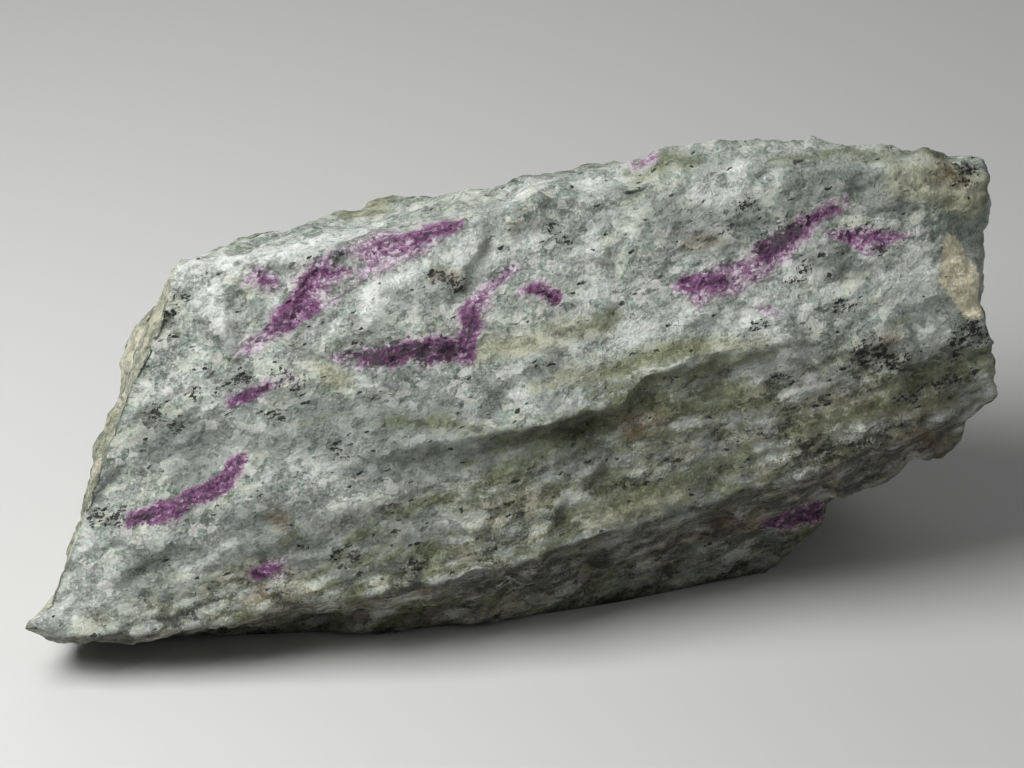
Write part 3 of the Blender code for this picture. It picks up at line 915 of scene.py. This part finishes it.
class Mosaic(Graph):
    """The making of a specimen finish: coordinates in mm, patterns on them, coats of colour."""

    def __init__(self, finish: SpecimenFinish) -> None:
        """Work out what all coats share from the object's own coordinates.

        Args:
            finish: The sizes and patterns to use.
        """
        super().__init__(finish.name)
        self.finish = finish
        upright = Vector(FOLIATION).normalized().rotation_difference(Vector((0, 0, 1)))
        turn = tuple(upright.to_euler())
        self.plain = self.mapped(self.add("TexCoord", {})["Object"], (1 / MM,) * 3)
        bent = self.strayed(self.plain, finish.bend, finish.bend_reach)
        self.streaked = self.mapped(self.mapped(bent, (1, 1, 1), turn), finish.streak_scale)
        self.level = self.mapped(self.mapped(self.plain, (1, 1, 1), turn), finish.grain_scale)
        self.grained = self.strayed(self.level, finish.crumble, finish.crumble_reach)
        self.cloud = self.noise(self.plain, finish.cloud)
        self.blotch = self.noise(self.level, finish.blotch)
        self.dust = self.noise(self.plain, finish.dust)
        self.streak = self.noise(self.streaked, finish.streak)
        self.leafy = self.marking("layered")
        self.grains = [self.cells(self.grained, size)[1] for size in (finish.grain, finish.sugar)]
        self.first, self.second, self.third = self.parts(self.grains[0])
        self.small, self.odd, self.spare = self.parts(self.grains[1])

    def strayed(self, vector: Socket, kind: Spot, reach: float) -> Socket:
        """Coordinates moved about by a kind of noise, by up to a reach."""
        sway = self.spread(self.noise(self.plain, kind, "Color"), reach)
        return self.vector("ADD", vector, sway)

    def dressed(self) -> bpy.types.Material:
        """Lay all coats and dress the shader.

        Returns:
            The material.
        """
        finish = self.finish
        colour = self.blocked(self.stained(self.ground()))
        # Small white flecks: partly white grains, partly painted glints.
        colour = self.coated(colour, (self.stepped(self.dust, 0.60, 0.72, 0.40), (236, 239, 236)))
        if finish.rock:
            colour = self.specked(*self.tinted(colour))
        gloss = self.stepped(self.spare, 0.14, 0.18)
        height = self.total((self.blotch, 0.26), (self.dust, 0.27))
        normal = self.facets(finish.facet, *self.grains)
        relief = {"Strength": finish.bump, "Distance": MM, "Height": height, "Normal": normal}
        self.feed(self.shader, {
            "Base Color": self.reddened(colour),
            "Roughness": self.total((gloss, 0.40), (self.dust, 0.24), (1.0, 0.02)),
            "Normal": self.add("Bump", relief)[0],
            "Subsurface Weight": finish.clear,
            "Subsurface Radius": (1.0, 1.0, 1.0),
            "Subsurface Scale": finish.clear_reach * MM})
        return self.material

    def ground(self) -> Socket:
        """The rock's own colour: a ramp of all patterns, with cool and cream grains and a haze.

        Returns:
            The colour.
        """
        bands = self.math("MULTIPLY", self.total((self.leafy, 0.75), (1.0, 0.25)),
                          self.total((self.streak, 2.6), (1.0, -1.33)))
        tone = self.total((self.cloud, 0.90), (self.blotch, 0.85), (self.dust, 1.40),
                          (self.first, 0.16), (self.small, 0.28), (bands, 0.85), (1.0, -1.33))
        haze = self.stepped(self.noise(self.streaked, self.finish.haze), 0.40, 0.62, 0.5)
        return self.coated(
            self.ramp(tone, ROCK_STOPS),
            (self.stepped(self.second, 0.45, 0.8, 0.5), (216, 232, 226), "MULTIPLY"),
            (self.stepped(self.third, 0.72, 0.8, 0.35), (232, 230, 222)),
            (self.total((self.leafy, 0.6), (haze, 0.8)), (214, 217, 200), "MULTIPLY"))

    def stained(self, colour: Socket) -> Socket:
        """Stain the layered rock in patches: olive-brown, mauve-grey and pale.

        Args:
            colour: The rock's colour so far.

        Returns:
            The new colour.
        """
        stains = ((0.9, (134, 128, 88), "MULTIPLY"), (0.8, (142, 132, 136), "MULTIPLY"),
                  (0.6, (216, 219, 204)))
        patches = self.parts(self.noise(self.level, self.finish.stain, "Color"))
        return self.coated(colour, *(
            (self.math("MULTIPLY", self.stepped(patch, 0.51, 0.59, top), self.leafy), *stain)
            for patch, (top, *stain) in zip(patches, stains)))

    def blocked(self, colour: Socket) -> Socket:
        """Add the large grains: pale and grey blocks, and pale eyes between dark leaves.

        Args:
            colour: The rock's colour so far.

        Returns:
            The new colour.
        """
        finish = self.finish
        chance, pale, _ = self.parts(self.cells(self.grained, finish.block)[1])
        away, eyes = self.cells(self.mapped(self.grained, finish.eye_scale), finish.eye)
        size, shine, _ = self.parts(eyes)
        inside = self.stepped(
            self.total((away, 1.0), (size, 0.45), (self.dust, 1.3), (1.0, -0.65)), 0.72, 0.44)
        between = self.math("MULTIPLY", self.math("SUBTRACT", 1.0, inside), self.leafy)
        eyed = self.math("MULTIPLY", inside, self.leafy)
        return self.coated(
            colour,
            (self.stepped(chance, 0.80, 0.86, 0.5), self.mix(pale, (226, 227, 210), (206, 214, 206))),
            (self.stepped(chance, 0.20, 0.14, 0.45), (132, 142, 138)),
            (self.math("MULTIPLY", between, 0.75), (178, 170, 154), "MULTIPLY"),
            (self.math("MULTIPLY", eyed, 0.5), self.mix(shine, (216, 218, 208), (160, 168, 158))))

    def tinted(self, colour: Socket) -> tuple[Socket, Socket]:
        """Lay the tints over the rock, each broken up by the rock's own patterns, and painted shade
        on the underside.

        Args:
            colour: The rock's colour so far.

        Returns:
            The new colour, and how thickly specks crowd.
        """
        dust = self.dust
        ragged = self.total((self.streak, 2.4), (dust, 2.6), (self.small, 0.7), (1.0, -2.85))

        def share(tint: Tint, soft: float, top: float, rough: float = 1.0) -> Socket:
            """How much of a tint shows, from its stored depth and the ragged pattern."""
            depth = self.total((self.marking(tint.value), 1.0), (ragged, rough))
            return self.stepped(depth, -soft, soft, top)

        veins = self.total((self.noise(self.streaked, self.finish.veins), 1.0), (dust, 0.2),
                           (self.leafy, 0.10))
        green = self.math("MAXIMUM", share(Tint.GREEN, 0.7, 0.85),
                          self.stepped(veins, 0.70, 0.84, 0.80))
        moss = self.ramp(self.total((self.small, 0.35), (dust, 0.9), (1.0, -0.1)), MOSS_STOPS)
        # Peach is partly the right end's own cream and partly painted light there.
        peach = self.mix(self.stepped(dust, 0.38, 0.60), (232, 220, 180), (255, 250, 224))
        crowd = share(Tint.BLACK, 0.55, 1.0)
        # Painted shade: surfaces turned downwards are darkened in streaks, partly the underside's own
        # dark streaks and partly shade.
        brown = self.stepped(self.streak, 0.75, 0.35, 0.9)
        return self.coated(
            colour,
            # Pale grains, and in a few strokes painted light and painted glints.
            (share(Tint.WHITE, 1.2, 0.55), (228, 232, 226)),
            # Grey rock, and in the two broad strokes painted shade.
            (share(Tint.GREY, 1.3, 0.58), (108, 116, 110)),
            (share(Tint.SALLOW, 0.9, 0.6), (172, 170, 138)),
            (share(Tint.PEACH, 0.25, 0.9, 0.4), peach),
            (self.math("MULTIPLY", self.marking("weathered"), 0.7), (226, 216, 190), "MULTIPLY"),
            (green, moss),
            (share(Tint.RUST, 0.8, 0.6), (112, 88, 54)),
            (self.math("MULTIPLY", crowd, 0.45), (98, 94, 82)),
            # Painted shade on the underside, in streaks.
            (self.math("MULTIPLY", self.marking("under"), brown), (150, 142, 130), "MULTIPLY"),
        ), crowd

    def specked(self, colour: Socket, crowd: Socket) -> Socket:
        """Strew black specks over the rock: in a few cells, and in most where they crowd.

        Args:
            colour: The rock's colour so far.
            crowd: How thickly they crowd, 0 to 1.

        Returns:
            The new colour.
        """
        thin = self.mapped(self.grained, self.finish.speck_scale)
        for size, odds in self.finish.specks:
            away, specks = self.cells(thin, size)
            chance, wide, _ = self.parts(specks)
            luck = self.stepped(self.total((crowd, 0.6), (chance, 1.0)), odds, odds + 0.008)
            inside = self.stepped(self.total((away, 1.0), (wide, -0.4), (crowd, -0.12),
                                             (self.dust, -1.2), (1.0, 0.6)), 0.40, 0.18)
            colour = self.mix(self.math("MULTIPLY", luck, inside), colour, (34, 35, 31))
        return colour

    def reddened(self, colour: Socket) -> Socket:
        """Lay ruby grains over the rock: nearly all of them in a core, none far outside.

        Args:
            colour: The rock's colour.

        Returns:
            The colour of both.
        """
        small, blotch, dust = self.small, self.blotch, self.dust
        depth = self.marking("depth")
        core = self.stepped(
            self.total((self.marking("core"), 1.0), (blotch, 2.0), (dust, 1.6), (1.0, -1.7)),
            -0.4, 0.5)
        stray = self.total((self.first, 0.4), (small, 0.8), (blotch, 3.0), (dust, 1.8),
                           (core, 0.7), (1.0, -3.0))
        tone = self.total((small, 0.60), (dust, 1.5), (blotch, 0.7), (core, -0.34), (1.0, -0.67))
        sooty = self.total((self.marking("dark"), 0.7), (self.odd, 1.2), (dust, 2.8), (1.0, -2.2))
        return self.coated(
            colour,
            (self.stepped(depth, -0.5, 0.9, 0.45), (146, 124, 142)),
            (self.stepped(self.total((depth, 0.8), (stray, 1.0)), -0.12, 0.45, 0.95),
             self.ramp(tone, RUBY_STOPS)),
            (self.stepped(sooty, -0.1, 0.35, 0.85), (38, 30, 38)))


@dataclass(frozen=True)
class FloorFinish:
    """A plain pale matt sheet."""

    colour: Look = (202, 202, 200)
    rough: float = 0.9

    def material(self) -> bpy.types.Material:
        """Build the node material.

        Returns:
            The material.
        """
        graph = Graph("pale_floor")
        graph.feed(graph.shader, {"Base Color": linear(*self.colour), "Roughness": self.rough})
        return graph.material


# --- rubies


@dataclass(frozen=True)
class Ruby:
    """One ruby: a closed shell that follows the broken surface over a ragged stroke.

    Its parts are strokes in its view: blackish ones, cores of pure colour, and gaps where the
    rock cuts in. A crisp border is that many times sharper than usual. Lengths are in mm.
    """

    node: str
    line: Row
    dark: tuple[Row, ...] = ()
    cores: tuple[Row, ...] = ()
    gaps: tuple[Row, ...] = ()
    crisp: float = 1.0
    view: View = FACE_VIEW

    near: float = 1.6                   # how far outside it the block's points may be of use
    inner: float = -0.3                 # depth from which they count when its patch is chosen
    finer: int = 3                      # new quads along each side of one of the block's
    wider: float = 0.15                 # what the shell is wider than its line on each side
    ragged: float = 0.3
    rounds: tuple[Round, ...] = ((0.9, 1.0, 71), (0.36, 0.8, 72))  # size, share, seed
    scale: Spot = (0.55, 0.7, 1.1)      # of those rounds, along the rows of LAYERS
    margin: float = 0.45                # how far past its border the shell runs on
    rise: float = 0.03                  # height of the cap over the rock
    sink: float = 0.11                  # how far it falls outside the border
    sink_from: float = -0.1             # where that begins; it ends at the margin
    glint: Round = (0.6, 0.22, 81)      # size, height and seed of its flakes
    glint_sharp: float = 30.0
    glint_from: Pair = (0.2, 0.6)       # depths where they fade in
    root: float = 1.5                   # depth of the shell

    def depth(self, points: Array, normals: Array) -> Array:
        """Depth inside the ruby's smooth outline, less its gaps, mm."""
        inside = self.view.depth(self.line, points, normals)
        return np.minimum(inside, -self.view.deepest(self.gaps, points, normals))

    def shades(self, points: Array, normals: Array) -> dict[str, Array]:
        """Depth inside the blackish parts and inside the cores, by their attributes' names, mm."""
        return {"dark": self.view.deepest(self.dark, points, normals),
                "core": self.view.deepest(self.cores, points, normals)}

    def stray(self, points: Array) -> Array:
        """Stray of the border: a sum of rounds of noise, drawn out along the layers.

        Args:
            points: Places on the smooth block, mm.

        Returns:
            Distances, mm.
        """
        turned = points @ LAYERS.T * self.scale
        total = sum(share * smooth_noise(turned / size, seed) for size, share, seed in self.rounds)
        return self.ragged / self.crisp * total

    def ground(self, patches: list[Patch]) -> Patch:
        """The ground that the ruby lies on: its part of the patch that holds most of it.

        Args:
            patches: Grids of the block.

        Returns:
            That part, on a finer grid.
        """
        reach = [self.depth(p.points.reshape(-1, 3), p.normals.reshape(-1, 3)) for p in patches]
        best = max(range(len(patches)), key=lambda k: int(np.sum(reach[k] > self.inner)))
        near = (reach[best] > -self.near).reshape(patches[best].points.shape[:2])
        used = (np.flatnonzero(near.any(axis=1)), np.flatnonzero(near.any(axis=0)))
        rows, columns = (slice(max(own[0] - 1, 0), own[-1] + 2) for own in used)
        return patches[best].finer(rows, columns, self.finer)

    def shell(self, patches: list[Patch]) -> bpy.types.Mesh:
        """Build the closed shell.

        The cap is the broken surface plus a height that is a hair above it inside the border and
        sinks below it outside. The bottom is the same grid further in, and strips join the two.

        Args:
            patches: Grids of the block.

        Returns:
            The mesh, with what its finish reads on each point.
        """
        ground = self.ground(patches)
        shape = ground.points.shape[:2]
        grids = (ground.points, ground.normals, ground.surface)
        base, normals, surface = (grid.reshape(-1, 3) for grid in grids)
        inside = self.depth(base, normals)
        border = inside + self.wider + self.stray(base)
        size, tall, seed = self.glint
        glint = size * flakes(base / size, seed, self.glint_sharp)
        lift = (self.rise - self.sink * eased(-border, self.sink_from, self.margin)
                + tall * glint * eased(border, *self.glint_from))
        cap = surface + normals * lift[:, None]
        bottom = surface + normals * (lift - self.root)[:, None]
        kept = (border > -self.margin).reshape(shape)
        solid = kept[:-1, :-1] & kept[1:, :-1] & kept[:-1, 1:] & kept[1:, 1:]
        sheet = grid_quads(np.arange(len(base)).reshape(shape))[solid.ravel()]
        quads = self.closed(sheet, len(base))
        used = np.unique(quads)
        renumber = np.full(2 * len(base), -1)
        renumber[used] = np.arange(len(used))
        mesh = put_mesh(self.node, to_metres(np.vstack([cap, bottom])[used]), renumber[quads])
        stored = {"depth": inside * self.crisp, "layered": layered(base)}
        for name, values in (stored | self.shades(base, normals)).items():
            put_values(mesh, name, np.concatenate([values, values])[used])
        return mesh

    @staticmethod
    def closed(sheet: Numbers, count: int) -> Numbers:
        """Close a sheet of quads: its copy turned over, and a strip along every free edge.

        Args:
            sheet: The cap's quads.
            count: How far the copy's point numbers are above the cap's.

        Returns:
            All quads.
        """
        start = sheet.ravel()
        end = np.roll(sheet, -1, axis=1).ravel()
        free = ~np.isin(start * count + end, end * count + start)
        start, end = start[free], end[free]
        walls = np.stack([start, start + count, end + count, end], axis=1)
        return np.vstack([sheet, sheet[:, ::-1] + count, walls])


RUBIES: tuple[Ruby, ...] = (
    Ruby("ruby_long_band",
         (-255, 30, 6, -229, 47, 8, -208, 68, 13, -189, 88, 22, -157, 109, 20, -119, 126, 16,
          -82, 137, 12, -49, 149, 4),
         dark=((-220, 54, 2, -206, 64, 4), (-186, 114, 1, -150, 126, 2, -110, 140, 1)),
         cores=((-224, 53, 6, -211, 61, 10, -187, 68, 7), (-90, 138, 5, -50, 149, 4),
                (-206, 70, 9, -194, 96, 6, -176, 106, 4)),
         gaps=((-172, 80, 2.5, -156, 93, 4, -142, 99, 2), (-164, 119, 2, -146, 113, 3),
               (-234, 64, 2, -218, 71, 2))),
    Ruby("ruby_round_eye", (-246, 99, 7, -237, 99, 10, -229, 96, 7),
         cores=((-234, 96, 3, -228, 95, 3),)),
    Ruby("ruby_hook",
         (-166, 25, 5, -138, 29, 8, -105, 30, 10, -75, 32, 10, -51, 33, 12, -41, 49, 12,
          -39, 69, 12, -22, 89, 8, 4, 110, 4),
         dark=((-154, 26, 6, -120, 29, 11, -65, 32, 11, -46, 34, 4), (-42, 36, 2, -39, 56, 3),
               (-18, 102, 5, 2, 108, 6)),
         cores=((-140, 26, 8, -60, 30, 10), (-42, 28, 9, -40, 64, 9))),
    Ruby("ruby_grey_eye", (9, 88, 6, 26, 87, 9, 41, 82, 8), dark=((26, 85, 4, 38, 81, 5),),
         cores=((20, 87, 4, 40, 82, 6),)),
    Ruby("ruby_short_streak", (-261, -17, 5, -246, -8, 7, -229, -2, 6, -208, 4, 3),
         dark=((-235, -2, 3, -208, 5, 4),), cores=((-260, -16, 4, -230, -4, 3),)),
    Ruby("ruby_low_band",
         (-360, -128, 4, -339, -124, 8, -316, -116, 8, -292, -106, 8, -276, -95, 8, -264, -81, 8,
          -255, -70, 6), dark=((-360, -128, 5, -340, -125, 4), (-300, -110, 4, -286, -102, 4)),
         cores=((-354, -128, 7, -330, -123, 9, -310, -115, 9, -278, -96, 9, -264, -80, 8,
                 -258, -73, 6),)),
    Ruby("ruby_low_bead", (-246, -180, 5, -232, -175, 8, -218, -172, 5),
         cores=((-240, -178, 6, -222, -173, 5),)),
    Ruby("ruby_right_band",
         (158, 91, 7, 176, 90, 15, 204, 98, 17, 232, 112, 15, 256, 128, 13, 270, 142, 10,
          289, 158, 8, 315, 172, 5),
         dark=((228, 126, 5, 252, 137, 15, 274, 151, 7), (160, 99, 2, 184, 102, 2)),
         cores=((166, 94, 6, 194, 96, 6), (238, 124, 7, 268, 144, 7), (286, 156, 4, 304, 166, 4))),
    Ruby("ruby_right_lens", (295, 141, 3, 312, 139, 8, 334, 136, 14, 354, 137, 9, 372, 138, 3),
         dark=((296, 142, 2, 314, 147, 3, 336, 149, 3, 356, 144, 3, 371, 138, 2),
               (340, 129, 6, 348, 128, 7)), cores=((316, 139, 1, 354, 137, 1),), crisp=2.4),
    Ruby("ruby_right_bead", (232, 70, 4, 241, 67, 5, 250, 63, 4)),
    Ruby("ruby_crest_chip", (116, 208, 4, 124, 210, 5, 132, 212, 4)),
    Ruby("ruby_under_lens", (242, -136, 3, 264, -131, 6, 283, -127, 6, 297, -121, 4),
         dark=((250, -134, 4, 294, -122, 5),), cores=((246, -135, 9, 294, -122, 10),), crisp=2.0),
    Ruby("ruby_rear_tip", (-42, 194, 5, -28, 184, 11, -12, 174, 6), view=LEFT_VIEW),
    Ruby("ruby_back_band",
         (-210, 215, 4, -175, 198, 10, -140, 180, 15, -100, 166, 14, -60, 152, 9, -25, 134, 4),
         cores=((-150, 184, 7, -110, 170, 7),), view=BACK_VIEW),
    Ruby("ruby_back_lens", (95, 230, 4, 120, 216, 9, 146, 204, 10, 174, 188, 4), view=BACK_VIEW))


# --- the block


@dataclass
class Matrix:
    """The block of gneiss that holds the rubies, one closed mesh."""

    form: BlockForm = field(default_factory=BlockForm)
    relief: Relief = field(default_factory=Relief)
    rubies: tuple[Ruby, ...] = RUBIES
    pocket: float = 0.8                 # depth of the dip under each ruby, mm
    pocket_from: Pair = (0.25, 0.7)     # depths inside it where the dip fades in, mm
    # The underside's tint is painted shade, together with its own dark streaks.
    under: Pair = (-0.05, 0.45)         # how far down a place turns where that tint fades in
    weathered: Pair = (0.25, 0.7)       # the same to the left
    patches: list[Patch] = field(default_factory=list)

    def build(self) -> bpy.types.Mesh:
        """Build the broken surface, with a dip under each ruby.

        Returns:
            The mesh, with what its finish reads on each point.
        """
        rings = self.form.rings()
        side, ends = self.form.numbers()
        caps = [self.form.end_patch(rings[0], -self.form.bulge[0]),
                self.form.end_patch(rings[-1], self.form.bulge[1])]
        smooth = np.vstack([rings.reshape(-1, 3)] + [c[1:-1, 1:-1].reshape(-1, 3) for c in caps])
        quads = np.vstack([grid_quads(np.hstack([side, side[:, :1]])),
                           grid_quads(ends[0]), grid_quads(ends[1])[:, ::-1]])
        draft = put_mesh("draft", smooth, quads)
        normals = normals_of(draft)
        bpy.data.meshes.remove(draft)
        if np.mean(np.sum((smooth - smooth.mean(axis=0)) * normals, axis=1)) < 0:
            quads = quads[:, ::-1]
            normals = -normals
        broken = self.relief.apply(smooth, normals)
        self.patches = [Patch(points, normals[numbers], broken[numbers])
                        for points, numbers in zip((rings, *caps), (side, *ends))]
        dip = np.zeros(len(smooth))
        stored = {name: np.full(len(smooth), OUTSIDE) for name in ("depth", "dark", "core")}
        for ruby in self.rubies:
            inside = ruby.depth(smooth, normals)
            sure = np.minimum(inside, inside + ruby.stray(smooth))
            dip = np.maximum(dip, self.pocket * eased(sure, *self.pocket_from))
            shades = {"depth": inside * ruby.crisp} | ruby.shades(smooth, normals)
            stored = {name: np.maximum(stored[name], shades[name]) for name in stored}
        mesh = put_mesh("matrix", to_metres(broken - normals * dip[:, None]), quads)
        stored |= {tint.value: FACE_VIEW.deepest(MARKINGS[tint], smooth, normals) for tint in Tint}
        # under holds painted shade, darker as a place turns downwards.
        stored |= {"layered": layered(smooth), "under": eased(-normals[:, 2], *self.under),
                   "weathered": eased(-normals[:, 0], *self.weathered)}
        for name, values in stored.items():
            put_values(mesh, name, values)
        return mesh

    def place(self) -> bpy.types.Object:
        """Put the block into the scene in place of its solid.

        Returns:
            The block.
        """
        block = put_object("matrix_gneiss", self.build(), SpecimenFinish("sugary_gneiss").material())
        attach(block, "root")
        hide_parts("matrix")
        return block

    def place_rubies(self) -> list[bpy.types.Object]:
        """Put every ruby into the scene in place of its solid.

        Returns:
            The rubies.
        """
        finish = SpecimenFinish("granular_ruby", rock=False).material()
        placed = []
        for ruby in self.rubies:
            crystal = put_object(ruby.node + "_crystal", ruby.shell(self.patches), finish)
            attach(crystal, "root")
            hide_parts(ruby.node)
            placed.append(crystal)
        return placed


# --- studio


@dataclass(frozen=True)
class Studio:
    """A pale floor, soft lights and the camera square to the broad face, in metres and watts."""

    lamps: tuple[tuple[str, Spot, float, float], ...] = (  # name, place, side and power
        ("key", (-0.11, -0.045, 0.19), 0.15, 0.60),
        ("fill", (0.34, -0.10, 0.36), 0.40, 0.23),
        ("back", (-0.05, 0.36, 0.30), 0.40, 0.30))
    distance: float = 0.420             # from the camera to the middle of the broad face
    field_width: float = 0.096          # what the picture is wide there
    sensor: float = 36.0                # its width, mm
    clip: float = 0.01
    floor_half: float = 3.0
    floor_drop: float = 0.00005         # how far the floor lies under the block
    sky: float = 0.085
    sky_colour: Look = (226, 230, 234)

    def aim(self) -> Vector:
        """The point that the camera and the lights look at."""
        return Vector([(a + b) * MM for a, b in zip(FACE_CENTRE, CENTRING)])

    def floor(self) -> None:
        """Add a large square sheet under the block."""
        corners = np.array([(-1, -1, 0), (1, -1, 0), (1, 1, 0), (-1, 1, 0)]) * self.floor_half
        corners[:, 2] = -self.floor_drop
        floor = put_object("floor", put_mesh("floor", corners, np.array([[0, 1, 2, 3]])),
                           FloorFinish().material())

    def aimed(self, name: str, thing: bpy.types.ID, place: Vector) -> bpy.types.Object:
        """Put a light or a camera into the scene so that it looks at the block.

        Args:
            name: Name of the object.
            thing: The light or the camera.
            place: Where it stands.

        Returns:
            The object.
        """
        holder = bpy.data.objects.new(name, thing)
        holder.location = place
        holder.rotation_euler = (self.aim() - place).to_track_quat("-Z", "Y").to_euler()
        bpy.context.scene.collection.objects.link(holder)
        return holder

    def lights(self) -> None:
        """Add the lamps, and the pale light from all round."""
        for name, place, side, power in self.lamps:
            lamp = bpy.data.lights.new(name, "AREA")
            lamp.size = side
            lamp.energy = power
            self.aimed(name, lamp, Vector(place))
        world = bpy.data.worlds.new("pale_room")
        world.use_nodes = True
        glow = world.node_tree.nodes["Background"]
        glow.inputs["Color"].default_value = linear(*self.sky_colour)
        glow.inputs["Strength"].default_value = self.sky
        bpy.context.scene.world = world

    def camera(self) -> None:
        """Add the camera on the line square to the broad face."""
        lens = bpy.data.cameras.new("camera")
        lens.sensor_width = self.sensor
        lens.lens = self.sensor * self.distance / self.field_width
        lens.clip_start = self.clip
        place = self.aim() + Vector(FACE_VIEW.out) * self.distance
        bpy.context.scene.camera = self.aimed("camera", lens, place)

    def build(self) -> None:
        """Set the whole studio up."""
        self.floor()
        self.lights()
        self.camera()
        bpy.context.scene.view_settings.view_transform = "Standard"


def report(piece: bpy.types.Object) -> None:
    """Say what a finished piece is made of."""
    mesh = piece.data
    LOG.info("%s: %d points, %d faces", piece.name, len(mesh.vertices), len(mesh.polygons))


def main() -> None:
    """Build the block, its rubies and the studio."""
    logging.basicConfig(level=logging.INFO, format="%(name)s: %(message)s")
    matrix = Matrix()
    report(matrix.place())
    for crystal in matrix.place_rubies():
        report(crystal)
    Studio().build()


if __name__ == "__main__":
    main()
